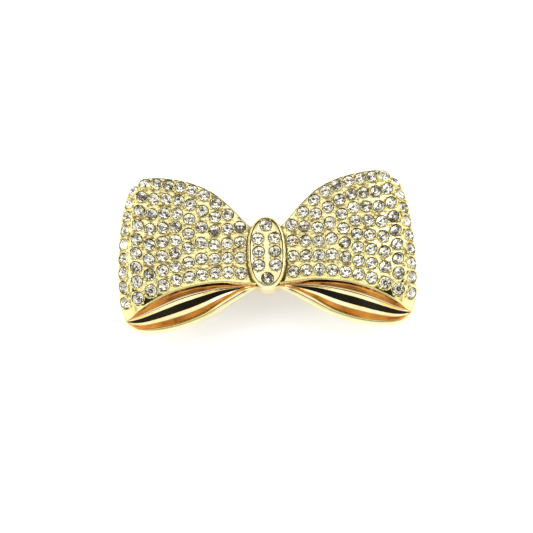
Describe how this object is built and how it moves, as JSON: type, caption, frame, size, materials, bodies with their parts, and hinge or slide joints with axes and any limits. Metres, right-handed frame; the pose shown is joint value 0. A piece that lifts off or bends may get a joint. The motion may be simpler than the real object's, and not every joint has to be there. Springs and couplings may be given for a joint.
{
  "type": "rhinestone hair clip",
  "caption": "Bow-shaped cast metal hair clip paved with round clear stones, on a hinged barrette with a squeeze catch.",
  "frame": {"origin": "middle of the bounding box, on the surface that the clasp arm's feet rest on", "axes": "+Z out of the bow's face, +Y to the bow's top edge, +X to its right wing; the clip lies on its back"},
  "size_m": [0.0604, 0.032, 0.0173],
  "materials": {
    "gilt_casting": "polished",
    "stone": "polished",
    "gilt_steel": "gloss",
    "spring_steel": "satin"
  },
  "bodies": {
    "arm": {"clasp_arm": "gilt_steel"},
    "bow": {"bow_casting": "gilt_casting", "knot_casting": "gilt_casting", "left_wing_stones_01": "stone", "left_wing_stones_02": "stone", "left_wing_stones_03": "stone", "left_wing_stones_04": "stone", "left_wing_stones_05": "stone", "left_wing_stones_06": "stone", "left_wing_stones_07": "stone", "left_wing_stones_08": "stone", "left_wing_stones_09": "stone", "left_wing_stones_10": "stone", "right_wing_stones_01": "stone", "right_wing_stones_02": "stone", "right_wing_stones_03": "stone", "right_wing_stones_04": "stone", "right_wing_stones_05": "stone", "right_wing_stones_06": "stone", "right_wing_stones_07": "stone", "right_wing_stones_08": "stone", "right_wing_stones_09": "stone", "right_wing_stones_10": "stone", "knot_stones": "stone", "base_strip": "gilt_steel", "base_rivets": "gilt_steel", "hinge_pin": "gilt_steel", "tension_bar": "spring_steel", "catch_plate": "spring_steel"},
    "leg_back": {"catch_leg_back": "spring_steel"},
    "leg_front": {"catch_leg_front": "spring_steel"}
  },
  "joints": [
    {"name": "clasp_hinge", "type": "hinge", "parent": "arm", "child": "bow", "pos_m": [-0.024, 0, 0.002], "axis": [0, -1, 0], "range_deg": [0, 60]},
    {"name": "squeeze_back", "type": "hinge", "parent": "bow", "child": "leg_back", "pos_m": [0.0222, 0.0019, 0.0085], "axis": [-1, 0, 0], "range_deg": [0, 6], "stiffness_Nm_per_rad": 0.2},
    {"name": "squeeze_front", "type": "hinge", "parent": "bow", "child": "leg_front", "pos_m": [0.0222, -0.0019, 0.0085], "axis": [1, 0, 0], "range_deg": [0, 6], "stiffness_Nm_per_rad": 0.2}
  ]
}
